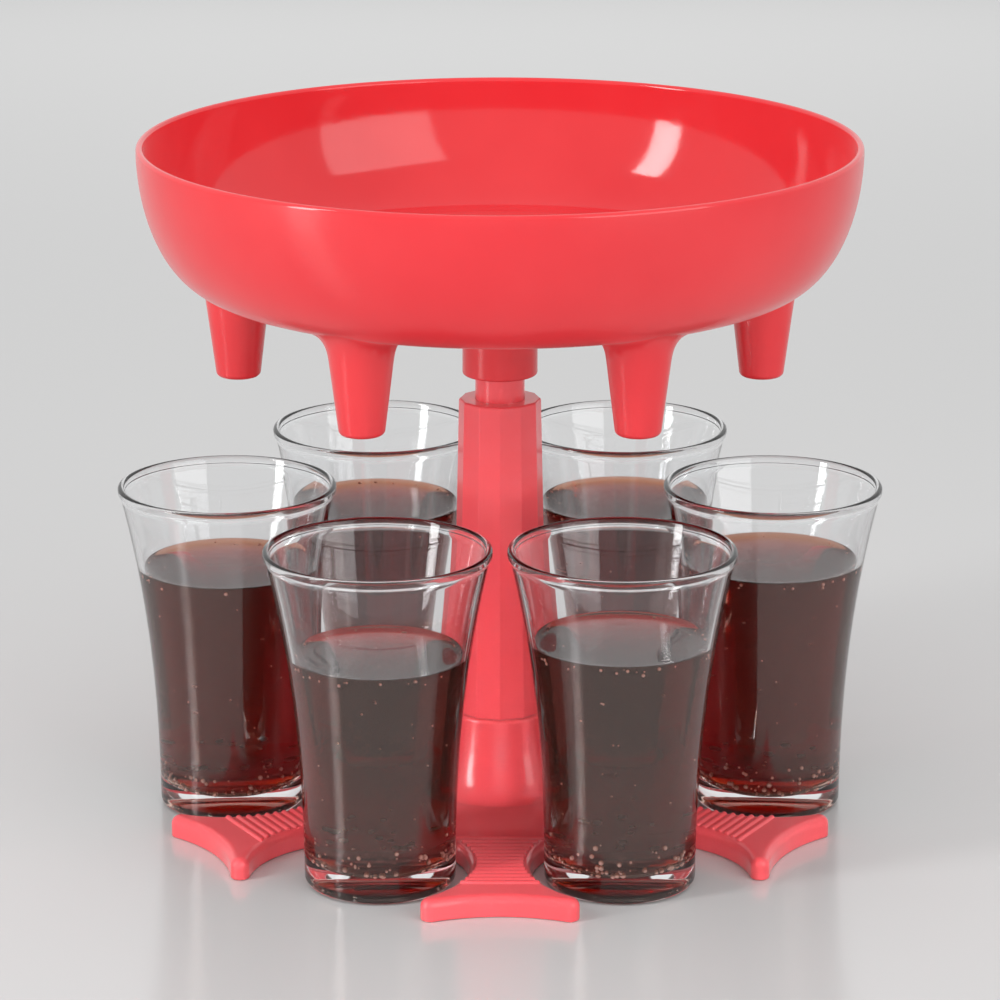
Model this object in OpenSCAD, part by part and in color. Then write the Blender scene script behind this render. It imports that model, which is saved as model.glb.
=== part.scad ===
// Party shot dispenser. Drink poured into the bowl runs out through six spouts into six cups,
// which stand on the table in the open bays of a star-shaped base.
// Millimetres. +Z is up and -Y is the front. The origin is the middle of the base's underside.

/* [Cups] */
// Height of a cup
cup_h = 73.5; // [60:0.5:90]
// Outer diameter of a cup at its rim
cup_rim_d = 48; // [42:0.5:54]
// Outer diameter of a cup at its foot
cup_foot_d = 32.2; // [28:0.2:36]
// Thickness of a cup's bottom
cup_floor = 4.5; // [3:0.5:8]
// Wall of a cup at its rim
cup_rim_wall = 1.2; // [1:0.1:1.8]
// Wall of a cup just above its bottom
cup_foot_wall = 1.9; // [1.4:0.1:2.6]
// How late a cup flares: 1 is a straight cone, more keeps the lower part upright
cup_flare = 2.3; // [1.2:0.1:3]
// Rounding of a cup's foot
cup_foot_round = 1.6; // [0.8:0.1:2.4]
// Rounding inside a cup, where the wall meets the bottom
cup_floor_round = 6; // [2:0.5:8]
// Depth of the hollow under a cup's foot
cup_foot_hollow = 0.6; // [0.3:0.1:1]
// Width of the ring that a cup stands on
cup_foot_ring = 1.6; // [1:0.1:2.5]
// Gap between the rims of neighbouring cups under the spouts
cup_gap = 9; // [4:0.5:14]
// How far each of the two front cups stands in towards the other
front_cups_in = 3; // [0:0.5:4]
// How far each of the two side cups stands out beyond its spout
side_cups_out = 3; // [0:0.5:5]

/* [Bowl] */
// Depth of the bowl outside, from its rim to its flat underside
bowl_depth = 30.5; // [24:0.5:40]
// How far the rim stands out beyond the circle of spouts
bowl_past_spouts = 21; // [19:0.5:26]
// Width of the bowl's curved wall, from the flat underside out to the rim
bowl_curve = 16; // [12:0.5:18]
// Wall of the bowl
bowl_wall = 1.6; // [1.4:0.1:2.4]
// Height of the low cone in the middle of the bowl's floor
floor_cone_h = 7; // [3:0.5:12]
// Width of the level gutter between that cone and the circle of spouts
gutter = 13; // [10:0.5:20]
// Level floor left between the bore of a spout and the bowl's rising wall
inlet_margin = 0.8; // [0.4:0.1:2]

/* [Spouts] */
// How far a spout reaches below the bowl's underside
spout_len = 21.5; // [14:0.5:30]
// Outer diameter of a spout under its fillet
spout_root_d = 13.8; // [12:0.2:16]
// Outer diameter of a spout at its tip
spout_tip_d = 9.8; // [9:0.2:12]
// Bore of a spout at the bowl's floor
inlet_d = 9.4; // [8:0.2:11]
// Bore of a spout at its tip
outlet_d = 6.6; // [6:0.2:7.4]
// Rounding of a spout's tip
spout_tip_round = 1.2; // [0.6:0.1:1.4]
// How far the fillet at a spout's root spreads
spout_fillet_w = 3.6; // [2:0.2:4.4]
// Height of that fillet
spout_fillet_h = 5.5; // [4:0.5:8]
// Height from a cup's rim up to the tip of its spout
pour_gap = 24.5; // [12:0.5:40]

/* [Collar and plug] */
// Outer diameter of the collar under the bowl
collar_d = 16.4; // [15:0.2:20]
// Length of the collar below the bowl's underside
collar_len = 21; // [16:0.5:26]
// Diameter of the connecting plug
plug_d = 10.8; // [8:0.1:12]
// Length of plug that shows as a neck between the collar and the column
neck_gap = 5.5; // [2:0.5:12]
// Length of plug inside the collar
plug_in_collar = 16; // [10:0.5:18]
// Length of plug inside the column
plug_in_column = 20; // [10:0.5:30]
// Chamfer on the plug's ends, the collar and the column's top
edge_chamfer = 0.5; // [0.2:0.1:0.9]

/* [Column] */
// Number of flat sides on the column
column_sides = 12; // [8:2:12]
// Diameter over the column's edges at its top
column_top_d = 18; // [16:0.2:22]
// Diameter over the column's edges at its foot
column_foot_d = 21; // [18:0.2:26]
// Diameter of the round tenon that stands in the base's hub
tenon_d = 13; // [10:0.5:15]
// Length of the tenon
tenon_len = 11; // [7:0.5:14]

/* [Base] */
// Thickness of the base's arms
base_t = 4.8; // [4:0.2:8]
// Wall along the underside of the base
base_wall = 1.8; // [1.4:0.1:2.4]
// Skin above the hollow of the base's underside
base_skin = 2; // [1.5:0.1:3]
// Space round a cup's foot in its bay
bay_room = 7.4; // [6:0.2:9]
// How far the centre of a bay lies outside the centre of its spout
bay_out = 3; // [1:0.5:4]
// How far the tips of the arms reach beyond the centres of the bays
arm_past_bay = 14.4; // [10:0.2:15]
// How far the end of an arm is scooped in between its two tips
end_scoop = 2.9; // [1.5:0.1:5]
// Radius inside the tips of the arms, in the hollow of the underside
tip_inner_r = 0.3; // [0.1:0.1:1]
// Height of the hub's top above the table
hub_h = 22; // [18:0.5:26]
// Diameter of the hub where it runs into the arms
hub_foot_d = 38; // [32:1:44]
// How much wider than the column's foot the hub's top is
hub_step = 0.7; // [0.6:0.1:3]

/* [Ribs on the arms] */
// Distance from the axis to the first rib
rib_start = 38; // [34:0.5:46]
// Distance from one rib to the next
rib_pitch = 2; // [1.8:0.1:4]
// Radius of a rib's back
rib_r = 0.7; // [0.6:0.1:0.8]
// Height of a rib above the arm
rib_h = 0.5; // [0.3:0.1:0.7]
// Smooth margin beside the ends of the ribs
rib_margin = 1.4; // [1:0.1:3]
// Smooth band at the outer end of an arm
rib_end_band = 6; // [3:0.2:10]

/* [Hidden] */
places = 6;
step_deg = 360 / places;
// Cup 1 and spout 1 are at the front left, and the rest follow anticlockwise, seen from above
function place_deg(k) = -120 + step_deg * (k - 1);

// Running clearance between plug and bore, and the seat left under what rests in a bore
plug_fit = 0.05;
seat = 0.02;

// Plan: neighbouring cups stand cup_gap apart on one circle, with a spout over each
spout_circle_r = (cup_rim_d + cup_gap) / (2 * sin(step_deg / 2));
bowl_r = spout_circle_r + bowl_past_spouts;
bowl_flat_r = bowl_r - bowl_curve;
bowl_floor_r = spout_circle_r + inlet_d / 2 + inlet_margin;
cone_r = spout_circle_r - gutter;

// Heights, from the table up
spout_tip_z = cup_h + pour_gap;
bowl_z = spout_tip_z + spout_len;
rim_z = bowl_z + bowl_depth;
collar_z = bowl_z - collar_len;
column_z = collar_z - neck_gap;
plug_z = column_z - plug_in_column;
plug_len = plug_in_column + neck_gap + plug_in_collar;

// The star's outline, seen along one arm: distance out along the arm, then distance to its left
bay_r = cup_foot_d / 2 + bay_room;
bay_centre_r = spout_circle_r + bay_out;
bay_x = bay_centre_r * cos(step_deg / 2);
bay_y = bay_centre_r * sin(step_deg / 2);
tip_r = base_wall + tip_inner_r;
arm_reach = bay_centre_r + arm_past_bay;
tip_x = arm_reach - tip_r;
tip_y = bay_y - sqrt(pow(bay_r + tip_r, 2) - pow(tip_x - bay_x, 2));
scoop_x = arm_reach - end_scoop;
tip_in = tip_x - scoop_x;
end_r = (tip_in * tip_in + tip_y * tip_y - tip_r * tip_r) / (2 * (tip_r + tip_in));

// Smoothness of round faces, and of the curves that are drawn point by point
fine = 96;
curve_steps = 16;

// n + 1 points along an arc from angle a to angle b
function arc(x, y, r, a, b, n) =
    [for (i = [0 : n]) [x + r * cos(a + (b - a) * i / n), y + r * sin(a + (b - a) * i / n)]];

function turned(points, deg) =
    [for (p = points) [p[0] * cos(deg) - p[1] * sin(deg), p[0] * sin(deg) + p[1] * cos(deg)]];

// A quarter ellipse, from (x + w, z) to (x, z - h)
function bowl_curve_points(x, z, w, h) =
    [for (i = [0 : curve_steps])
        let (a = 90 * i / curve_steps) [x + w * cos(a), z - h * sin(a)]];

function reversed(points) = [for (i = [len(points) - 1 : -1 : 0]) points[i]];

// ---------------------------------------------------------------- bowl

// Inside and outside of the bowl, as half a section, with a round lip
function bowl_inside() =
    bowl_curve_points(bowl_floor_r, rim_z - bowl_wall / 2,
                      bowl_r - bowl_wall - bowl_floor_r, bowl_depth - bowl_wall * 3 / 2);

function bowl_outside() =
    bowl_curve_points(bowl_flat_r, rim_z - bowl_wall / 2, bowl_curve, bowl_depth - bowl_wall / 2);

module bowl_shell() {
    floor_z = bowl_z + bowl_wall;
    lip = arc(bowl_r - bowl_wall / 2, rim_z - bowl_wall / 2, bowl_wall / 2, 0, 180, 8);
    rotate_extrude($fn = fine)
        polygon(concat([[0, bowl_z]], reversed(bowl_outside()), lip, bowl_inside(),
                       [[cone_r, floor_z], [3, floor_z + floor_cone_h], [0, floor_z + floor_cone_h]]));
}

// All the room inside the bowl, to trim what would stand up through the wall
module bowl_room() {
    rotate_extrude($fn = fine)
        polygon(concat([[0, rim_z + 1], [bowl_r - bowl_wall, rim_z + 1]], bowl_inside(),
                       [[0, bowl_z + bowl_wall]]));
}

// A tapering spout with a rounded tip and a root that flares into the bowl's underside
module spout() {
    root_z = bowl_z + bowl_wall * 3 / 4;
    fillet_z = root_z - spout_fillet_h;
    tip = spout_tip_d / 2 - spout_tip_round;
    fillet = [for (i = [0 : curve_steps / 2])
        let (a = 180 * i / curve_steps)
            [spout_root_d / 2 + spout_fillet_w * (1 - cos(a)), fillet_z + spout_fillet_h * sin(a)]];
    rotate_extrude($fn = fine)
        polygon(concat([[0, spout_tip_z]],
                       arc(tip, spout_tip_z + spout_tip_round, spout_tip_round, -90, 0, 4),
                       fillet, [[0, root_z]]));
}

module bowl() {
    collar_edge = collar_d / 2 - edge_chamfer;
    color([0.88, 0.11, 0.13])
    difference() {
        union() {
            bowl_shell();
            difference() {
                for (k = [1 : places])
                    rotate(place_deg(k)) translate([spout_circle_r, 0, 0]) spout();
                bowl_room();
            }
            translate([0, 0, collar_z])
                cylinder(r1 = collar_edge, r2 = collar_d / 2, h = edge_chamfer, $fn = fine);
            translate([0, 0, collar_z + edge_chamfer])
                cylinder(d = collar_d, h = collar_len - edge_chamfer + bowl_wall / 2, $fn = fine);
        }
        for (k = [1 : places])
            rotate(place_deg(k)) translate([spout_circle_r, 0, spout_tip_z])
                spout_bore();
        translate([0, 0, collar_z - 1])
            cylinder(d = plug_d + 2 * plug_fit, h = plug_in_collar + seat + 1, $fn = fine);
    }
}

// The taper of the bore, carried on a little past the tip and the bowl's floor
module spout_bore() {
    length = spout_len + bowl_wall;
    slope = (inlet_d - outlet_d) / 2 / length;
    translate([0, 0, -1])
        cylinder(r1 = outlet_d / 2 - slope, r2 = inlet_d / 2 + slope, h = length + 2, $fn = fine);
}

// ---------------------------------------------------------------- plug and column

module neck_plug() {
    small = plug_d / 2 - edge_chamfer;
    color([0.84, 0.09, 0.11])
    translate([0, 0, plug_z + seat]) {
        cylinder(r1 = small, r2 = plug_d / 2, h = edge_chamfer, $fn = fine);
        translate([0, 0, edge_chamfer])
            cylinder(d = plug_d, h = plug_len - 2 * edge_chamfer - seat, $fn = fine);
        translate([0, 0, plug_len - edge_chamfer - seat])
            cylinder(r1 = plug_d / 2, r2 = small, h = edge_chamfer, $fn = fine);
    }
}

module column() {
    shaft_h = column_z - hub_h - edge_chamfer;
    top_r = column_top_d / 2;
    color([0.88, 0.11, 0.13])
    difference() {
        union() {
            translate([0, 0, hub_h])
                cylinder(r1 = column_foot_d / 2, r2 = top_r, h = shaft_h, $fn = column_sides);
            translate([0, 0, hub_h + shaft_h])
                cylinder(r1 = top_r, r2 = top_r - edge_chamfer, h = edge_chamfer, $fn = column_sides);
            translate([0, 0, hub_h - tenon_len])
                cylinder(d = tenon_d, h = tenon_len + 1, $fn = fine);
        }
        translate([0, 0, plug_z])
            cylinder(d = plug_d + 2 * plug_fit, h = plug_in_column + 1, $fn = fine);
    }
}

// ---------------------------------------------------------------- base

// The star's outline, drawn in by inset everywhere. It runs anticlockwise.
function arm_outline(inset) =
    let (bay_deg = atan2(bay_y - tip_y, tip_x - bay_x),
         end_deg = atan2(tip_y, scoop_x + end_r - tip_x),
         bay_half = 180 - step_deg / 2 - bay_deg)
    concat(
        arc(tip_x, -tip_y, tip_r - inset, bay_deg - 180, end_deg, 8),
        tail(arc(scoop_x + end_r, 0, end_r + inset, 180 + end_deg, 180 - end_deg, 8)),
        tail(arc(tip_x, tip_y, tip_r - inset, -end_deg, 180 - bay_deg, 8)),
        inner(arc(bay_x, bay_y, bay_r + inset, -bay_deg, -bay_deg - 2 * bay_half, 24)));

function tail(points) = [for (i = [1 : len(points) - 1]) points[i]];

function inner(points) = [for (i = [1 : len(points) - 2]) points[i]];

function star(inset) =
    [for (k = [0 : places - 1]) each turned(arm_outline(inset), -90 + step_deg * k)];

// The arms, hollow underneath
module star_plate() {
    difference() {
        linear_extrude(base_t) polygon(star(0));
        translate([0, 0, -1]) linear_extrude(base_t - base_skin + 1) polygon(star(base_wall));
    }
}

// Half the width of an arm at distance x from the axis
function arm_half(x) = bay_y - sqrt(max(0, pow(bay_r, 2) - pow(x - bay_x, 2)));

// A rib straight across an arm, with a rounded back
module rib(x) {
    half = arm_half(x) - rib_margin;
    centre_z = base_t + rib_h - rib_r;
    translate([x, 0, centre_z]) rotate([90, 0, 0])
        linear_extrude(2 * half, center = true) polygon(arc(0, 0, rib_r, -60, 240, 10));
}

// The hub's flare, a hollow curve from the arms up to the column's foot
module hub() {
    top_r = column_foot_d / 2 + hub_step;
    spread = hub_foot_d / 2 - top_r;
    flare = [for (i = [0 : curve_steps])
        let (a = 90 * i / curve_steps)
            [hub_foot_d / 2 - spread * cos(a), hub_h - edge_chamfer - (hub_h - base_t - edge_chamfer) * sin(a)]];
    rotate_extrude($fn = fine)
        polygon(concat([[0, 0], [hub_foot_d / 2 - 4, 0], [hub_foot_d / 2 - 4, base_t / 2],
                        [hub_foot_d / 2, base_t / 2]],
                       reversed(flare), [[top_r - edge_chamfer, hub_h], [0, hub_h]]));
}

module base() {
    color([0.88, 0.11, 0.13])
    difference() {
        union() {
            star_plate();
            hub();
            for (k = [0 : places - 1], x = [rib_start : rib_pitch : scoop_x - rib_end_band])
                rotate(-90 + step_deg * k) rib(x);
        }
        translate([0, 0, hub_h - tenon_len]) cylinder(d = tenon_d, h = tenon_len + 1, $fn = fine);
    }
}

// ---------------------------------------------------------------- cups

// Outer radius of a cup at height z
function cup_r(z) = cup_foot_d / 2 + (cup_rim_d - cup_foot_d) / 2 * pow(z / cup_h, cup_flare);

// Inner radius of a cup at height z
function cup_in_r(z) =
    cup_r(z) - cup_foot_wall + (cup_foot_wall - cup_rim_wall) * (z - cup_floor) / (cup_h - cup_floor);

module cup_glass() {
    lip_r = cup_rim_wall / 2;
    lip_z = cup_h - lip_r;
    low = cup_foot_round;
    ring_r = cup_r(low) - low - cup_foot_ring;
    outside = [for (i = [1 : curve_steps])
        let (z = low + (lip_z - low) * i / curve_steps) [cup_r(z), z]];
    round_z = cup_floor + cup_floor_round;
    inside = [for (i = [0 : curve_steps])
        let (z = lip_z + (round_z - lip_z) * i / curve_steps) [cup_in_r(z), z]];
    color([0.85, 0.9, 0.92, 0.4])
    rotate_extrude($fn = fine)
        polygon(concat([[0, cup_foot_hollow], [ring_r - cup_foot_hollow, cup_foot_hollow], [ring_r, 0]],
                       arc(cup_r(low) - low, low, low, -90, 0, 5), outside,
                       inner(arc(cup_r(lip_z) - lip_r, lip_z, lip_r, 0, 180, 6)), inside,
                       tail(arc(cup_in_r(round_z) - cup_floor_round, round_z, cup_floor_round, 0, -90, 5)),
                       [[0, cup_floor]]));
}

// A cup under spout k. The two at the front stand a little closer together, and the side ones further out.
module cup(k) {
    deg = place_deg(k);
    shift = k == 1 ? front_cups_in : k == 2 ? -front_cups_in
          : k == 3 ? side_cups_out : k == 6 ? -side_cups_out : 0;
    translate([spout_circle_r * cos(deg) + shift, spout_circle_r * sin(deg), 0]) cup_glass();
}

module cup_1() { cup(1); }
module cup_2() { cup(2); }
module cup_3() { cup(3); }
module cup_4() { cup(4); }
module cup_5() { cup(5); }
module cup_6() { cup(6); }

bowl();
neck_plug();
column();
base();
cup_1();
cup_2();
cup_3();
cup_4();
cup_5();
cup_6();
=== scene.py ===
import math
import random

import bmesh
import bpy
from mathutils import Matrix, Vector


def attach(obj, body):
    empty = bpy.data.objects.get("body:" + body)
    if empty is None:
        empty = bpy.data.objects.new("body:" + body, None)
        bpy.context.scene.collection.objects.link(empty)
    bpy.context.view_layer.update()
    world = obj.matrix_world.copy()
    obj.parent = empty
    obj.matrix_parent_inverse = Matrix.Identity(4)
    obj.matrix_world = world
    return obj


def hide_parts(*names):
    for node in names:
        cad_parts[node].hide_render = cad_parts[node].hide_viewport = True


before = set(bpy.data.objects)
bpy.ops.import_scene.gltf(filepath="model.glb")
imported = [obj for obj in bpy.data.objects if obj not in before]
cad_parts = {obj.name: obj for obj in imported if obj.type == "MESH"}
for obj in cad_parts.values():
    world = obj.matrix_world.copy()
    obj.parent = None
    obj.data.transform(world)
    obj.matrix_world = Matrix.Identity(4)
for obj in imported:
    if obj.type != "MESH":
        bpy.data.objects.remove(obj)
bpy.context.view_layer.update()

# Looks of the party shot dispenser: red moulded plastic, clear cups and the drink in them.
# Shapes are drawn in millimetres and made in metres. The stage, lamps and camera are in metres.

MM = 0.001

# ---------------------------------------------------------------- sizes, as in part.scad

PLACES = 6
STEP_DEG = 360 / PLACES
# Place 1 is at the front left, and the rest follow anticlockwise, seen from above
FIRST_PLACE_DEG, FRONT_DEG = -120, -90

CUP_H, CUP_RIM_R, CUP_FOOT_R, CUP_FLARE = 73.5, 24.0, 16.1, 2.3
CUP_FLOOR, CUP_RIM_WALL, CUP_FOOT_WALL = 4.5, 1.2, 1.9
CUP_FOOT_ROUND, CUP_FLOOR_ROUND, CUP_FOOT_HOLLOW, CUP_FOOT_RING = 1.6, 6.0, 0.6, 1.6
CUP_GAP, FRONT_CUPS_IN, SIDE_CUPS_OUT = 9.0, 3.0, 3.0
# Six neighbours on a circle stand one radius apart
SPOUT_CIRCLE_R = 2 * CUP_RIM_R + CUP_GAP

POUR_GAP, SPOUT_LEN, BOWL_DEPTH, COLLAR_LEN, NECK_GAP = 24.5, 21.5, 30.5, 21.0, 5.5
SPOUT_TIP_Z = CUP_H + POUR_GAP
BOWL_Z = SPOUT_TIP_Z + SPOUT_LEN
RIM_Z = BOWL_Z + BOWL_DEPTH
COLLAR_Z = BOWL_Z - COLLAR_LEN
COLUMN_Z = COLLAR_Z - NECK_GAP

SPOUT_ROOT_R, SPOUT_TIP_R, SPOUT_TIP_ROUND = 6.9, 4.9, 1.2
INLET_R, OUTLET_R, INLET_MARGIN, GUTTER, CONE_H = 4.7, 3.3, 0.8, 13.0, 7.0
BOWL_PAST_SPOUTS, BOWL_CURVE, BOWL_WALL = 21.0, 16.0, 1.6
BOWL_R = SPOUT_CIRCLE_R + BOWL_PAST_SPOUTS
BOWL_FLAT_R = BOWL_R - BOWL_CURVE
BOWL_FLOOR_R = SPOUT_CIRCLE_R + INLET_R + INLET_MARGIN
CONE_R = SPOUT_CIRCLE_R - GUTTER
LIP_R = BOWL_WALL / 2

COLLAR_R, PLUG_BORE_R, PLUG_IN_COLLAR, PLUG_IN_COLUMN = 8.2, 5.45, 16.0, 20.0
COLUMN_SIDES, COLUMN_TOP_R, COLUMN_FOOT_R, COLUMN_CHAMFER = 12, 9.0, 10.5, 0.5
TENON_R, TENON_LEN = 6.5, 11.0

BASE_T, BASE_WALL, BASE_SKIN = 4.8, 1.8, 2.0
HUB_H, HUB_FOOT_R, HUB_STEP = 22.0, 19.0, 0.7
HUB_TOP_R = COLUMN_FOOT_R + HUB_STEP
RIB_START, RIB_PITCH, RIB_R, RIB_H, RIB_MARGIN, RIB_END_BAND = 38.0, 2.0, 0.7, 0.5, 1.4, 6.0

# The plan of one arm, with x out along it and y to its left
BAY_ROOM, BAY_OUT, ARM_PAST_BAY, END_SCOOP, TIP_R = 7.4, 3.0, 14.4, 2.9, 2.1
BAY_R = CUP_FOOT_R + BAY_ROOM
BAY_CENTRE_R = SPOUT_CIRCLE_R + BAY_OUT
ARM_REACH = BAY_CENTRE_R + ARM_PAST_BAY
BAY_X = BAY_CENTRE_R * math.cos(math.radians(STEP_DEG / 2))
BAY_Y = BAY_CENTRE_R * math.sin(math.radians(STEP_DEG / 2))
TIP_X = ARM_REACH - TIP_R
TIP_Y = BAY_Y - math.sqrt((BAY_R + TIP_R) ** 2 - (TIP_X - BAY_X) ** 2)
SCOOP_X = ARM_REACH - END_SCOOP
TIP_IN = TIP_X - SCOOP_X
END_R = (TIP_IN ** 2 + TIP_Y ** 2 - TIP_R ** 2) / (2 * (TIP_R + TIP_IN))

# ---------------------------------------------------------------- sizes of the finer details

# Faces that meet are kept this far apart, or run this far into each other
HAIR = 0.02
# How far a tool reaches past the body that it cuts, and into the wall that it joins
PAST, IN_WALL = 1.0, 0.9
# Points of a full turn, and steps along the long curves
BOWL_SIDES, SPOUT_SIDES, COLLAR_SIDES, HUB_SIDES, RIB_SIDES, CUP_SIDES = 240, 72, 96, 128, 18, 144
BOWL_STEPS, CUP_STEPS, DRINK_STEPS = 44, 56, 30

# The cone's foot runs from outside its radius to inside it: how far out, and how high
CONE_FOOT_IN, CONE_FOOT_H = 3.0, 0.56
CONE_FOOT = ((2.5, 0.0), (0.0, 0.12), (-CONE_FOOT_IN, CONE_FOOT_H))
CONE_SIDE_R = (36, 28, 20, 12, 6)
# The cone's rounded top: radius, and how far down
CONE_TOP = ((4, 0.25), (2.5, 0.08), (1, 0.0))

# A spout has its root radius this far below the bowl
SPOUT_ROOT_GAP = 4.3
# A fillet runs from this far down the spout to this far out under the bowl, and ends a little inside it.
# Its corner is as high as the bowl's underside at this distance from the spout's axis.
FILLET_DROP, FILLET_SPREAD, FILLET_BITE, FILLET_CORNER_R = 5.6, 4.0, 0.06, 7.2
# Over its fillet a spout narrows to its end inside the bowl's wall
SPOUT_IN_WALL, SPOUT_END_R, SPOUT_STEPS, FILLET_STEPS = 0.7, 4.0, 6, 10
# The collar's rounded edge: how far in, and how far up
COLLAR_EDGE = ((0.5, 0.0), (0.25, 0.07), (0.07, 0.25), (0.0, 0.5))

ARM_TOP_ROUND, ARM_LOW_ROUND, HOLLOW_CHAMFER = 1.9, 0.4, 0.15
# The hub's foot in the hollow stands in from the flare, and ends inside the skin
HUB_LIP_R, HUB_FOOT_IN, HUB_FOOT_Z = 0.7, 4.0, 3.5
# A rib's rounded end: how far in, and the share of the rib's radius there
RIB_END = ((0.0, 0.45), (0.12, 0.8), (0.35, 1.0))
COLUMN_EDGE_R, COLUMN_FOOT_EDGE, CORNER_STEPS = 0.5, 0.3, 4

CUP_DOME, CUP_BEAD_R, CUP_BEAD_H = 1.6, 0.68, 1.9
# The flank under the rim's bead: how far in, and how far up
CUP_BEAD_FLANK = ((0.40, 0.04), (0.20, 0.12), (0.06, 0.28), (0.0, 0.52))

# Height of the drink in each cup
DRINK_Z = {1: 50.0, 2: 53.0, 3: 55.8, 4: 55.0, 5: 54.5, 6: 54.5}
# The drink runs a little into the wall, and its edge is drawn up the wall
DRINK_BITE, EDGE_RISE, EDGE_WIDTH, LEVEL_IN = 0.06, 0.9, 0.9, 6.0
EDGE_POINTS_IN = (0.12, 0.35, 0.7, 1.2, 1.9, 2.8, 4.0)

# Bubbles in each cup: near the floor, then under the drink's edge, then on the wall between
FLOOR_BUBBLES, EDGE_BUBBLES, WALL_BUBBLES = 128, 26, 36
BUBBLE_R_LEAST, BUBBLE_R_MOST, EDGE_BUBBLE_SHARE, WALL_BUBBLE_SHARE = 0.18, 0.62, 0.7, 0.45
# Where they start above the floor or below the drink's level, and how far they reach from there
FLOOR_BUBBLES_FROM, FLOOR_BUBBLES_BAND = 1.0, 7.0
EDGE_BUBBLES_FROM, EDGE_BUBBLES_BAND = 0.1, 1.2
WALL_BUBBLES_Z, WALL_BUBBLES_UNDER = 12, 3
# A bubble's centre stands this share of its radius off the wall
BUBBLE_OFF_WALL = 0.5
FIRST_SEED = 100


# ---------------------------------------------------------------- plan and section

def cos_deg(a):
    return math.cos(math.radians(a))


def sin_deg(a):
    return math.sin(math.radians(a))


def turn(x, y, deg):
    """(x, y) turned round the axis."""
    return x * cos_deg(deg) - y * sin_deg(deg), x * sin_deg(deg) + y * cos_deg(deg)


def evenly(start, end, steps):
    """steps + 1 values from start to end."""
    return [start + (end - start) * i / steps for i in range(steps + 1)]


def arc(x, y, r, a, b, steps):
    """steps + 1 points along an arc from angle a to angle b, in degrees."""
    return [(x + r * cos_deg(angle), y + r * sin_deg(angle)) for angle in evenly(a, b, steps)]


def quarter_ellipse(x, z, w, h, steps):
    """steps + 1 points from (x + w, z) to (x, z - h)."""
    return [(x + w * cos_deg(angle), z - h * sin_deg(angle)) for angle in evenly(0, 90, steps)]


def place_deg(k):
    return FIRST_PLACE_DEG + STEP_DEG * (k - 1)


def spout_centre(k):
    return SPOUT_CIRCLE_R * cos_deg(place_deg(k)), SPOUT_CIRCLE_R * sin_deg(place_deg(k))


def cup_centre(k):
    x, y = spout_centre(k)
    shift = {1: FRONT_CUPS_IN, 2: -FRONT_CUPS_IN, 3: SIDE_CUPS_OUT, 6: -SIDE_CUPS_OUT}.get(k, 0)
    return x + shift, y


def cup_r(z):
    return CUP_FOOT_R + (CUP_RIM_R - CUP_FOOT_R) * (z / CUP_H) ** CUP_FLARE


def cup_in_r(z):
    return cup_r(z) - CUP_FOOT_WALL + (CUP_FOOT_WALL - CUP_RIM_WALL) * (z - CUP_FLOOR) / (CUP_H - CUP_FLOOR)


# ---------------------------------------------------------------- mesh helpers

def make_object(name, verts, faces, sharp_deg=40):
    """A mesh object from points in millimetres, smooth except across edges sharper than sharp_deg."""
    mesh = bpy.data.meshes.new(name)
    mesh.from_pydata([(x * MM, y * MM, z * MM) for x, y, z in verts], [], faces)
    bm = bmesh.new()
    bm.from_mesh(mesh)
    bmesh.ops.recalc_face_normals(bm, faces=bm.faces)
    bm.to_mesh(mesh)
    bm.free()
    obj = bpy.data.objects.new(name, mesh)
    bpy.context.scene.collection.objects.link(obj)
    smooth(obj, sharp_deg)
    return obj


def smooth(obj, sharp_deg):
    obj.data.polygons.foreach_set("use_smooth", [True] * len(obj.data.polygons))
    obj.data.set_sharp_from_angle(angle=math.radians(sharp_deg))


def even_normals(obj):
    """Flat faces keep flat shading beside small roundings."""
    m = obj.modifiers.new("even_normals", "WEIGHTED_NORMAL")
    m.keep_sharp = True
    m.weight = 90


def loft(rings):
    """(points, faces) of a closed body through rings of equally many points, with flat ends."""
    n = len(rings[0])
    verts = [p for ring in rings for p in ring]
    faces = [tuple(range(n)), tuple(range(len(verts) - n, len(verts)))]
    for i in range(len(rings) - 1):
        for j in range(n):
            a, b = i * n + j, i * n + (j + 1) % n
            faces.append((a, b, b + n, a + n))
    return verts, faces


def circle(r, z, n, cx=0.0, cy=0.0):
    return [(cx + r * math.cos(2 * math.pi * j / n), cy + r * math.sin(2 * math.pi * j / n), z)
            for j in range(n)]


def turned(profile, n, cx=0.0, cy=0.0):
    """(points, faces) of a profile of (radius, height) turned round an upright axis, with flat ends."""
    return loft([circle(r, z, n, cx, cy) for r, z in profile])


def join(parts):
    """(points, faces) of several bodies together."""
    verts, faces = [], []
    for v, f in parts:
        faces += [tuple(i + len(verts) for i in face) for face in f]
        verts += v
    return verts, faces


def combine(obj, tool, operation):
    """Unites obj with tool, or cuts tool from it, and leaves one closed body."""
    m = obj.modifiers.new("combine", "BOOLEAN")
    m.operation, m.solver, m.object = operation, "EXACT", tool
    apply_modifiers(obj)
    bpy.data.objects.remove(tool)


def apply_modifiers(obj):
    dg = bpy.context.evaluated_depsgraph_get()
    mesh = bpy.data.meshes.new_from_object(obj.evaluated_get(dg))
    obj.modifiers.clear()
    obj.data = mesh


# ---------------------------------------------------------------- materials

def set_inputs(node, **inputs):
    """Sets a node's sockets by name, with _ for each space in it."""
    for key, value in inputs.items():
        node.inputs[key.replace("_", " ")].default_value = value


def add_node(tree, kind, **inputs):
    node = tree.nodes.new(kind)
    set_inputs(node, **inputs)
    return node


def new_material(name, **inputs):
    """(material, its node tree, its shader), with the shader's sockets set."""
    mat = bpy.data.materials.new(name)
    mat.use_nodes = True
    shader = mat.node_tree.nodes["Principled BSDF"]
    set_inputs(shader, **inputs)
    return mat, mat.node_tree, shader


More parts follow.
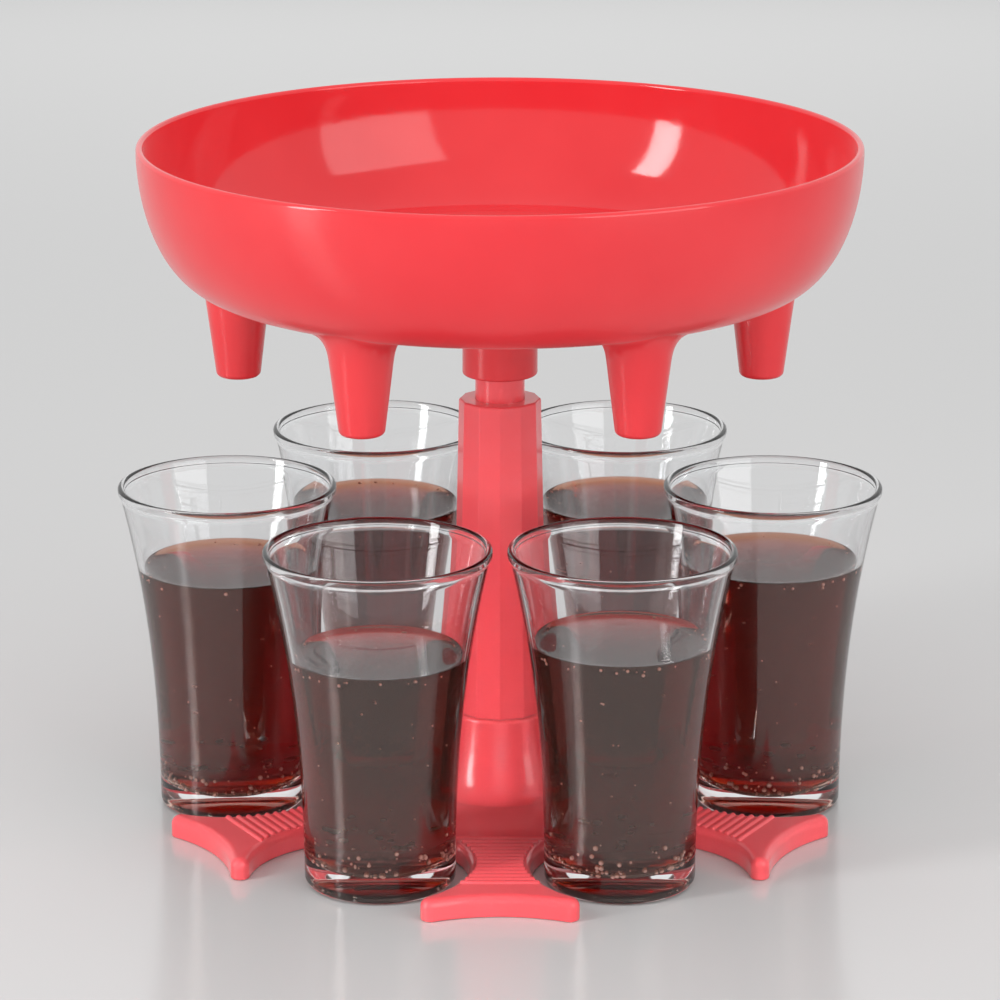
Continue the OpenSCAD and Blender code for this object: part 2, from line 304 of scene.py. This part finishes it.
def red_plastic(name, colour, deep, least_rough, shift):
    """Moulded plastic: a clouded colour, a fine skin texture and a little sheen."""
    mat, tree, shader = new_material(
        name, IOR=1.5, Sheen_Weight=0.18, Sheen_Roughness=0.35, Sheen_Tint=(1.0, 0.85, 0.85, 1),
        Subsurface_Weight=0.15, Subsurface_Radius=(1.0, 0.25, 0.2), Subsurface_Scale=0.004)
    coord = tree.nodes.new("ShaderNodeTexCoord")
    moved = add_node(tree, "ShaderNodeMapping", Location=(shift, shift * 0.7, shift * 1.3))
    tree.links.new(coord.outputs["Object"], moved.inputs["Vector"])

    cloud = add_node(tree, "ShaderNodeTexNoise", Scale=28.0, Detail=3.0, Roughness=0.55)
    tree.links.new(moved.outputs["Vector"], cloud.inputs["Vector"])
    ramp = tree.nodes.new("ShaderNodeValToRGB")
    low, high = ramp.color_ramp.elements
    low.position, low.color = 0.3, (*deep, 1)
    high.position, high.color = 0.7, (*colour, 1)
    tree.links.new(cloud.outputs["Fac"], ramp.inputs["Fac"])
    tree.links.new(ramp.outputs["Color"], shader.inputs["Base Color"])

    skin = add_node(tree, "ShaderNodeTexNoise", Scale=420.0, Detail=2.0, Roughness=0.5)
    tree.links.new(moved.outputs["Vector"], skin.inputs["Vector"])
    rough = add_node(tree, "ShaderNodeMapRange", To_Min=least_rough, To_Max=least_rough + 0.09)
    tree.links.new(skin.outputs["Fac"], rough.inputs["Value"])
    tree.links.new(rough.outputs["Result"], shader.inputs["Roughness"])

    bump = add_node(tree, "ShaderNodeBump", Strength=0.06, Distance=0.0002)
    tree.links.new(skin.outputs["Fac"], bump.inputs["Height"])
    tree.links.new(bump.outputs["Normal"], shader.inputs["Normal"])
    return mat


def clear_plastic():
    """Clear moulded plastic with a slight waviness."""
    mat, tree, shader = new_material("clear_cup", Base_Color=(0.975, 0.98, 0.985, 1),
                                     Transmission_Weight=1.0, IOR=1.46, Roughness=0.015)
    coord = tree.nodes.new("ShaderNodeTexCoord")
    wave = add_node(tree, "ShaderNodeTexNoise", Scale=55.0, Detail=1.0)
    tree.links.new(coord.outputs["Object"], wave.inputs["Vector"])
    bump = add_node(tree, "ShaderNodeBump", Strength=0.04, Distance=0.0004)
    tree.links.new(wave.outputs["Fac"], bump.inputs["Height"])
    tree.links.new(bump.outputs["Normal"], shader.inputs["Normal"])
    return mat


def dark_drink():
    """A dark brown drink that glows red where it is thin."""
    mat, tree, _ = new_material("dark_drink", Base_Color=(0.96, 0.60, 0.48, 1),
                                Transmission_Weight=0.95, IOR=1.34, Roughness=0.02)
    soak = add_node(tree, "ShaderNodeVolumeAbsorption", Color=(0.86, 0.45, 0.05, 1), Density=600.0)
    tree.links.new(soak.outputs["Volume"], tree.nodes["Material Output"].inputs["Volume"])
    return mat


CORAL, CORAL_DEEP = (0.81, 0.043, 0.052), (0.76, 0.030, 0.040)
PINK_CORAL, PINK_CORAL_DEEP = (0.91, 0.107, 0.124), (0.86, 0.084, 0.101)
bowl_red = red_plastic("bowl_red", CORAL, CORAL_DEEP, least_rough=0.20, shift=1.0)
bowl_polished = red_plastic("bowl_polished", CORAL, CORAL_DEEP, least_rough=0.04, shift=1.0)
stand_red = red_plastic("stand_red", PINK_CORAL, PINK_CORAL_DEEP, least_rough=0.11, shift=5.0)
clear_cup = clear_plastic()
drink_brown = dark_drink()
bubble_brown, _, _ = new_material("bubble_skin", Base_Color=(0.78, 0.46, 0.38, 1), Roughness=0.2)


def paint(obj, mat):
    obj.data.materials.clear()
    obj.data.materials.append(mat)


# ---------------------------------------------------------------- bowl

def under_z(r):
    """Height of the bowl's outside at distance r from the axis."""
    out = max(0.0, r - BOWL_FLAT_R) / BOWL_CURVE
    return RIM_Z - LIP_R - (RIM_Z - LIP_R - BOWL_Z) * math.sqrt(max(0.0, 1 - out * out))


def cone_profile(floor_z):
    """The low cone in the middle of the bowl's floor, with its foot and its top rounded."""
    slope = CONE_H / (CONE_R - CONE_FOOT_IN)
    foot = [(CONE_R + out, floor_z + up) for out, up in CONE_FOOT]
    side = [(r, floor_z + (CONE_R - r) * slope) for r in CONE_SIDE_R]
    return foot + side + [(r, floor_z + CONE_H - down) for r, down in CONE_TOP]


def bowl_shell():
    lip_z, floor_z = RIM_Z - LIP_R, BOWL_Z + BOWL_WALL
    outside = quarter_ellipse(BOWL_FLAT_R, lip_z, BOWL_CURVE, lip_z - BOWL_Z, BOWL_STEPS)
    lip = arc(BOWL_R - LIP_R, lip_z, LIP_R, 0, 180, steps=10)
    inside = quarter_ellipse(BOWL_FLOOR_R, lip_z, BOWL_R - BOWL_WALL - BOWL_FLOOR_R, lip_z - floor_z,
                             BOWL_STEPS)
    return turned(outside[::-1] + lip[1:-1] + inside + cone_profile(floor_z), BOWL_SIDES)


def bend(t, start, corner, end):
    """A value on the curve from start to end that leans towards corner, with t from 0 to 1."""
    return (1 - t) ** 2 * start + 2 * t * (1 - t) * corner + t * t * end


def spout_body(deg):
    """A tapering spout, whose root flows into the bowl's outside all round."""
    root_z = BOWL_Z - SPOUT_ROOT_GAP
    side_z = SPOUT_TIP_Z + SPOUT_TIP_ROUND

    def side_r(z):
        share = (z - SPOUT_TIP_Z - SPOUT_TIP_ROUND) / (root_z - SPOUT_TIP_Z - SPOUT_TIP_ROUND)
        return SPOUT_TIP_R + (SPOUT_ROOT_R - SPOUT_TIP_R) * share

    def plan(r, j):
        a = 2 * math.pi * j / SPOUT_SIDES
        return SPOUT_CIRCLE_R + r * math.cos(a), r * math.sin(a)

    def place(r, j, z):
        return *turn(*plan(r, j), deg), z

    def surface(r, j):
        return under_z(math.hypot(*plan(r, j)))

    rings = [[place(r, j, z) for j in range(SPOUT_SIDES)]
             for r, z in arc(SPOUT_TIP_R - SPOUT_TIP_ROUND, side_z, SPOUT_TIP_ROUND, -90, 0, steps=7)]
    for i in range(1, SPOUT_STEPS + 1):
        ring = []
        for j in range(SPOUT_SIDES):
            side_h = surface(FILLET_CORNER_R, j) - FILLET_DROP - SPOUT_TIP_Z - SPOUT_TIP_ROUND
            z = side_z + side_h * i / SPOUT_STEPS
            ring.append(place(side_r(z), j, z))
        rings.append(ring)
    for i in range(1, FILLET_STEPS + 1):
        t = i / FILLET_STEPS
        ring = []
        for j in range(SPOUT_SIDES):
            corner_z = surface(FILLET_CORNER_R, j)
            low_z = corner_z - FILLET_DROP
            corner_r = side_r(corner_z)
            far_r = corner_r + FILLET_SPREAD
            z = bend(t, low_z, corner_z, surface(far_r, j)) + FILLET_BITE * t ** 4
            ring.append(place(bend(t, side_r(low_z), corner_r, far_r), j, z))
        rings.append(ring)
    rings.append([place(SPOUT_ROOT_R, j, surface(SPOUT_ROOT_R, j) + SPOUT_IN_WALL)
                  for j in range(SPOUT_SIDES)])
    rings.append([place(SPOUT_END_R, j, BOWL_Z + IN_WALL) for j in range(SPOUT_SIDES)])
    return loft(rings)


def collar_body():
    edge = [(COLLAR_R - inward, COLLAR_Z + up) for inward, up in COLLAR_EDGE]
    return turned(edge + [(COLLAR_R, BOWL_Z + IN_WALL)], COLLAR_SIDES)


def bores():
    """The spouts' tapering bores, and the plug's bore in the collar."""
    taper = (INLET_R - OUTLET_R) / (BOWL_Z + BOWL_WALL - SPOUT_TIP_Z)
    spout_bore = [(OUTLET_R - taper * PAST, SPOUT_TIP_Z - PAST),
                  (INLET_R + taper * PAST, BOWL_Z + BOWL_WALL + PAST)]
    plug_bore = [(PLUG_BORE_R, COLLAR_Z - PAST), (PLUG_BORE_R, COLLAR_Z + PLUG_IN_COLLAR + HAIR)]
    made = [turned(spout_bore, SPOUT_SIDES, *spout_centre(k)) for k in range(1, PLACES + 1)]
    return made + [turned(plug_bore, COLLAR_SIDES)]


def polish_inside(bowl):
    """The mould is polished where the drink stands; the outside keeps a satin finish."""
    least_rise = 0.05
    bowl.data.materials.append(bowl_polished)
    for face in bowl.data.polygons:
        centre, normal = face.center / MM, face.normal
        faces_up = normal.z > least_rise
        faces_in = normal.x * centre.x + normal.y * centre.y < 0
        if centre.z > BOWL_Z + BOWL_WALL / 2 and (faces_up or faces_in):
            face.material_index = 1


def make_bowl():
    bowl = make_object("drink_bowl", *bowl_shell())
    spouts = [spout_body(place_deg(k)) for k in range(1, PLACES + 1)]
    combine(bowl, make_object("spout_tool", *join(spouts + [collar_body()])), "UNION")
    combine(bowl, make_object("bore_tool", *join(bores())), "DIFFERENCE")
    smooth(bowl, sharp_deg=38)
    even_normals(bowl)
    paint(bowl, bowl_red)
    polish_inside(bowl)
    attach(bowl, "bowl")
    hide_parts("bowl")


# ---------------------------------------------------------------- base

def arm_outline(inset):
    """One arm's share of the star's outline, drawn in by inset everywhere."""
    bay_deg = math.degrees(math.atan2(BAY_Y - TIP_Y, TIP_X - BAY_X))
    end_deg = math.degrees(math.atan2(TIP_Y, SCOOP_X + END_R - TIP_X))
    bay_half = 180 - STEP_DEG / 2 - bay_deg
    right_tip = arc(TIP_X, -TIP_Y, TIP_R - inset, bay_deg - 180, end_deg, steps=12)
    scoop = arc(SCOOP_X + END_R, 0, END_R + inset, 180 + end_deg, 180 - end_deg, steps=20)
    left_tip = arc(TIP_X, TIP_Y, TIP_R - inset, -end_deg, 180 - bay_deg, steps=12)
    bay = arc(BAY_X, BAY_Y, BAY_R + inset, -bay_deg, -bay_deg - 2 * bay_half, steps=48)
    return right_tip + scoop[1:] + left_tip[1:] + bay[1:-1]


def star(inset, z):
    """The outline of all the arms at height z."""
    return [(*turn(x, y, FRONT_DEG + STEP_DEG * k), z)
            for k in range(PLACES) for x, y in arm_outline(inset)]


def base_plate():
    """The star, hollow underneath, from the hollow's roof round by its rim to the top face."""
    hollow = [star(BASE_WALL, BASE_T - BASE_SKIN), star(BASE_WALL, HOLLOW_CHAMFER),
              star(BASE_WALL - HOLLOW_CHAMFER, 0)]
    low_edge = [star(ARM_LOW_ROUND * (1 - sin_deg(a)), ARM_LOW_ROUND * (1 - cos_deg(a)))
                for a in range(0, 91, 30)]
    top_edge = [star(ARM_TOP_ROUND * (1 - cos_deg(a)),
                     BASE_T - ARM_TOP_ROUND + ARM_TOP_ROUND * sin_deg(a)) for a in range(0, 91, 15)]
    return loft(hollow + low_edge + top_edge)


def hub_body():
    """The flared hub, with a foot inside the hollow and a socket for the column's tenon."""
    lip_z = HUB_H - HUB_LIP_R
    foot_r = HUB_FOOT_R - HUB_FOOT_IN
    foot = [(foot_r, 0.0), (foot_r, HUB_FOOT_Z), (HUB_FOOT_R, HUB_FOOT_Z)]
    flare = quarter_ellipse(HUB_FOOT_R, lip_z, HUB_TOP_R - HUB_FOOT_R, lip_z - (BASE_T - HAIR), steps=18)
    lip = arc(HUB_TOP_R - HUB_LIP_R, lip_z, HUB_LIP_R, 0, 90, steps=5)
    socket = [(TENON_R, HUB_H), (TENON_R, HUB_H - TENON_LEN)]
    return turned(foot + flare[::-1] + lip[1:] + socket, HUB_SIDES)


def arm_half(x):
    """Half the width of an arm at distance x from the axis."""
    return BAY_Y - math.sqrt(max(0.0, BAY_R ** 2 - (x - BAY_X) ** 2))


def rib(x, deg):
    """A rib straight across an arm, rounded along its back and at its ends."""
    half = arm_half(x) - RIB_MARGIN
    centre_z = BASE_T + RIB_H - RIB_R
    left = [(half - inward, share * RIB_R) for inward, share in RIB_END]
    right = [(-along, r) for along, r in left]
    angles = range(0, 360, 360 // RIB_SIDES)
    return loft([[(*turn(x + r * cos_deg(a), along, deg), centre_z + r * sin_deg(a)) for a in angles]
                 for along, r in right + left[::-1]])


def make_base():
    base = make_object("star_base", *base_plate())
    combine(base, make_object("hub_tool", *hub_body()), "UNION")
    rows = 1 + math.floor((SCOOP_X - RIB_END_BAND - RIB_START) / RIB_PITCH)
    ribs = [rib(RIB_START + RIB_PITCH * row, FRONT_DEG + STEP_DEG * k)
            for row in range(rows) for k in range(PLACES)]
    combine(base, make_object("rib_tool", *join(ribs)), "UNION")
    smooth(base, sharp_deg=38)
    even_normals(base)
    paint(base, stand_red)
    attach(base, "stand")
    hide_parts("base")


# ---------------------------------------------------------------- column

def faceted_ring(r, z):
    """A regular polygon with its corners on radius r before each is rounded."""
    half = math.pi / COLUMN_SIDES
    inner = r - COLUMN_EDGE_R / math.cos(half)
    ring = []
    for k in range(COLUMN_SIDES):
        a = 2 * half * k
        for i in range(CORNER_STEPS + 1):
            b = a - half + 2 * half * i / CORNER_STEPS
            ring.append((inner * math.cos(a) + COLUMN_EDGE_R * math.cos(b),
                         inner * math.sin(a) + COLUMN_EDGE_R * math.sin(b), z))
    return ring


def round_ring(r, z):
    """A circle with as many points as a faceted ring, near the same angles."""
    half = math.pi / COLUMN_SIDES
    angles = [2 * half * k + half * 0.5 * (2 * i / CORNER_STEPS - 1)
              for k in range(COLUMN_SIDES) for i in range(CORNER_STEPS + 1)]
    return [(r * math.cos(a), r * math.sin(a), z) for a in angles]


def make_column():
    tenon = [round_ring(TENON_R - HAIR, HUB_H - TENON_LEN + HAIR), round_ring(TENON_R - HAIR, HUB_H)]
    sides = [faceted_ring(COLUMN_FOOT_R - COLUMN_FOOT_EDGE, HUB_H),
             faceted_ring(COLUMN_FOOT_R, HUB_H + COLUMN_FOOT_EDGE),
             faceted_ring(COLUMN_TOP_R, COLUMN_Z - COLUMN_CHAMFER)]
    edge = [faceted_ring(COLUMN_TOP_R - COLUMN_CHAMFER * (1 - cos_deg(a)),
                         COLUMN_Z - COLUMN_CHAMFER * (1 - sin_deg(a))) for a in (30, 60, 90)]
    bore = [round_ring(PLUG_BORE_R, COLUMN_Z), round_ring(PLUG_BORE_R, COLUMN_Z - PLUG_IN_COLUMN)]
    column = make_object("column_body", *loft(tenon + sides + edge + bore), sharp_deg=50)
    even_normals(column)
    paint(column, stand_red)
    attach(column, "stand")
    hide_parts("column")


# ---------------------------------------------------------------- cups and drink

FLOOR_ROUND_Z = CUP_FLOOR + CUP_FLOOR_ROUND
FLOOR_FLAT_R = cup_in_r(FLOOR_ROUND_Z) - CUP_FLOOR_ROUND


def cup_profile():
    """A cup's section, from the middle of its underside round by the rim to the middle of its floor."""
    foot_r = cup_r(CUP_FOOT_ROUND) - CUP_FOOT_ROUND
    lip_z, bead_z = CUP_H - CUP_BEAD_R, CUP_H - CUP_BEAD_H
    ring_r = foot_r - CUP_FOOT_RING
    dome_r = ring_r - CUP_FOOT_HOLLOW
    under = [(dome_r * share, CUP_FOOT_HOLLOW + CUP_DOME * (1 - share ** 2))
             for share in (0.1, 0.3, 0.5, 0.7, 0.85, 1)]
    foot = [(ring_r, 0.0)] + arc(foot_r, CUP_FOOT_ROUND, CUP_FOOT_ROUND, -90, 0, steps=8)
    outside = [(cup_r(z), z) for z in evenly(CUP_FOOT_ROUND, bead_z, CUP_STEPS)]
    flank = [(CUP_RIM_R - inward, bead_z + up) for inward, up in CUP_BEAD_FLANK]
    bead = arc(CUP_RIM_R - CUP_BEAD_R, lip_z, CUP_BEAD_R, 0, 180, steps=12)
    inside = [(cup_in_r(z), z) for z in evenly(lip_z, FLOOR_ROUND_Z, CUP_STEPS)]
    floor_edge = arc(FLOOR_FLAT_R, FLOOR_ROUND_Z, CUP_FLOOR_ROUND, 0, -90, steps=8)
    return under + foot + outside[1:] + flank + bead[:-1] + inside + floor_edge[1:]


def drink_profile(level):
    """The drink's section, from the cup's flat floor out and up the wall, then in over its surface."""
    low = arc(FLOOR_FLAT_R, FLOOR_ROUND_Z, CUP_FLOOR_ROUND + DRINK_BITE, -90, 0, steps=8)
    side = [(cup_in_r(z) + DRINK_BITE, z) for z in evenly(FLOOR_ROUND_Z, level + EDGE_RISE, DRINK_STEPS)]
    edge_r = cup_in_r(level)
    edge = [(edge_r - d, level + EDGE_RISE * math.exp(-d / EDGE_WIDTH)) for d in EDGE_POINTS_IN]
    return low + side[1:] + edge + [(edge_r - LEVEL_IN, level)]


def bubble(x, y, z, r):
    """A small ball, drawn as five rings of eight points."""
    return loft([circle(r * sin_deg(a), z - r * cos_deg(a), 8, x, y) for a in (20, 55, 90, 125, 160)])


def wall_r(z):
    """Inside radius of a cup at height z, with the rounding over its floor."""
    if z >= FLOOR_ROUND_Z:
        return cup_in_r(z)
    drop = FLOOR_ROUND_Z - z
    return FLOOR_FLAT_R + math.sqrt(max(0.0, CUP_FLOOR_ROUND ** 2 - drop ** 2))


def bubbles(k):
    """Beads of gas on the wall, most of them round the bottom and under the drink's edge."""
    rng = random.Random(FIRST_SEED + k)
    cx, cy = cup_centre(k)
    made = []
    for i in range(FLOOR_BUBBLES + EDGE_BUBBLES + WALL_BUBBLES):
        a = rng.uniform(0, 2 * math.pi)
        r = rng.uniform(BUBBLE_R_LEAST, BUBBLE_R_MOST)
        if i < FLOOR_BUBBLES:
            z = CUP_FLOOR + FLOOR_BUBBLES_FROM + FLOOR_BUBBLES_BAND * rng.random() ** 2
        elif i < FLOOR_BUBBLES + EDGE_BUBBLES:
            z = DRINK_Z[k] - EDGE_BUBBLES_FROM - EDGE_BUBBLES_BAND * rng.random() ** 2
            r *= EDGE_BUBBLE_SHARE
        else:
            z = rng.uniform(WALL_BUBBLES_Z, DRINK_Z[k] - WALL_BUBBLES_UNDER)
            r *= WALL_BUBBLE_SHARE
        out = wall_r(z) - BUBBLE_OFF_WALL * r
        made.append(bubble(cx + out * math.cos(a), cy + out * math.sin(a), z, r))
    return join(made)


def make_cup(k):
    cx, cy = cup_centre(k)
    body = f"cup_{k}"
    cup = make_object(f"clear_cup_{k}", *turned(cup_profile(), CUP_SIDES, cx, cy), sharp_deg=60)
    paint(cup, clear_cup)
    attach(cup, body)
    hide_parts(f"cup_{k}")

    drink = make_object(f"drink_{k}", *turned(drink_profile(DRINK_Z[k]), CUP_SIDES, cx, cy), sharp_deg=60)
    paint(drink, drink_brown)
    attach(drink, body)

    beads = make_object(f"bubbles_{k}", *bubbles(k), sharp_deg=90)
    paint(beads, bubble_brown)
    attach(beads, body)


# ---------------------------------------------------------------- the object

make_bowl()
paint(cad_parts["neck_plug"], stand_red)
make_base()
make_column()
for place in range(1, PLACES + 1):
    make_cup(place)

# ---------------------------------------------------------------- stage

FLOOR_HALF, FLOOR_DROP = 4.0, 0.00005
LIGHT_STRENGTH, SEEN_STRENGTH = 0.48, 0.80
CAMERA_DISTANCE, CAMERA_Z, CAMERA_PITCH_DEG = 0.852, 0.315, -16.06
LENS_MM, SENSOR_MM = 145, 36


def make_floor():
    """A plain pale table top with a satin sheen, a hair under the object."""
    corners = [(-FLOOR_HALF, -FLOOR_HALF, 0), (FLOOR_HALF, -FLOOR_HALF, 0),
               (FLOOR_HALF, FLOOR_HALF, 0), (-FLOOR_HALF, FLOOR_HALF, 0)]
    mesh = bpy.data.meshes.new("floor")
    mesh.from_pydata(corners, [], [(0, 1, 2, 3)])
    obj = bpy.data.objects.new("floor", mesh)
    bpy.context.scene.collection.objects.link(obj)
    obj.location.z = -FLOOR_DROP
    satin, _, _ = new_material("pale_satin", Base_Color=(0.62, 0.62, 0.62, 1), Roughness=0.16, IOR=1.65)
    paint(obj, satin)
    return obj


def make_world():
    """A white world that is seen, mirrored and seen through the cups brighter than it lights."""
    world = bpy.data.worlds.new("studio")
    bpy.context.scene.world = world
    world.use_nodes = True
    tree = world.node_tree
    light = tree.nodes["Background"]
    set_inputs(light, Color=(1, 1, 1, 1), Strength=LIGHT_STRENGTH)
    seen = add_node(tree, "ShaderNodeBackground", Color=(1, 1, 1, 1), Strength=SEEN_STRENGTH)
    path = tree.nodes.new("ShaderNodeLightPath")
    rays = path.outputs["Is Camera Ray"]
    for more in ("Is Transmission Ray", "Is Glossy Ray"):
        either = tree.nodes.new("ShaderNodeMath")
        either.operation = "MAXIMUM"
        tree.links.new(rays, either.inputs[0])
        tree.links.new(path.outputs[more], either.inputs[1])
        rays = either.outputs[0]
    mix = tree.nodes.new("ShaderNodeMixShader")
    tree.links.new(rays, mix.inputs[0])
    tree.links.new(light.outputs[0], mix.inputs[1])
    tree.links.new(seen.outputs[0], mix.inputs[2])
    tree.links.new(mix.outputs[0], tree.nodes["World Output"].inputs["Surface"])


def soft_box(name, azimuth, distance, z, size, radiance, aim_z=0.07, glossy=True, spread=180):
    """An upright soft box. Azimuth 0 is at the camera's side and 90 to the right. Radiance 1 looks white,
    and a spread under 180 degrees gathers the same light in a narrower beam."""
    wide, high = size
    data = bpy.data.lights.new(name, "AREA")
    data.shape, data.size, data.size_y = "RECTANGLE", wide, high
    data.spread = math.radians(spread)
    data.energy = radiance * math.pi * wide * high
    lamp = bpy.data.objects.new(name, data)
    bpy.context.scene.collection.objects.link(lamp)
    lamp.location = (distance * sin_deg(azimuth), -distance * cos_deg(azimuth), z)
    lamp.rotation_euler = (Vector((0, 0, aim_z)) - lamp.location).to_track_quat("-Z", "Y").to_euler()
    lamp.visible_camera = False
    lamp.visible_glossy = lamp.visible_transmission = glossy
    return lamp


def link_light(lamp, obj, state):
    """Keeps a lamp's light off one object, with EXCLUDE, or on that one alone, with INCLUDE."""
    group = bpy.data.collections.new(f"{lamp.name}_receivers")
    group.objects.link(obj)
    group.collection_objects[0].light_linking.link_state = state
    lamp.light_linking.receiver_collection = group


def make_lamps(table):
    soft_box("left_box", azimuth=-61, distance=0.95, z=0.40, size=(0.17, 0.75), radiance=13.0)
    # The right box lights the table without a glare on it, which would be white from behind
    right = {"azimuth": 45, "distance": 0.95, "z": 0.40, "size": (0.74, 0.72), "radiance": 2.3}
    link_light(soft_box("right_box", **right), table, "EXCLUDE")
    link_light(soft_box("right_floor", **right, glossy=False), table, "INCLUDE")
    soft_box("top_box", azimuth=0, distance=0.25, z=1.1, size=(0.9, 0.9), radiance=1.5, glossy=False)
    soft_box("front_fill", azimuth=0, distance=0.95, z=0.12, size=(0.40, 0.30), radiance=3.5, glossy=False)
    # A narrow beam between the two front cups lightens the hub
    soft_box("low_beam", azimuth=0, distance=0.95, z=0.10, size=(0.16, 0.05), radiance=0.75,
             aim_z=0.02, glossy=False, spread=10)
    soft_box("back_fill", azimuth=180, distance=1.15, z=0.45, size=(0.80, 0.50), radiance=1.6, glossy=False)


def make_camera():
    """A long lens in front of the object and a little above it, as in the photograph."""
    data = bpy.data.cameras.new("camera")
    data.lens, data.sensor_width = LENS_MM, SENSOR_MM
    camera = bpy.data.objects.new("camera", data)
    bpy.context.scene.collection.objects.link(camera)
    camera.location = (0, -CAMERA_DISTANCE, CAMERA_Z)
    camera.rotation_euler = (math.radians(90) + math.radians(CAMERA_PITCH_DEG), 0, 0)
    bpy.context.scene.camera = camera


floor = make_floor()
make_world()
make_lamps(floor)
make_camera()

view = bpy.context.scene.view_settings
view.view_transform = "Standard"
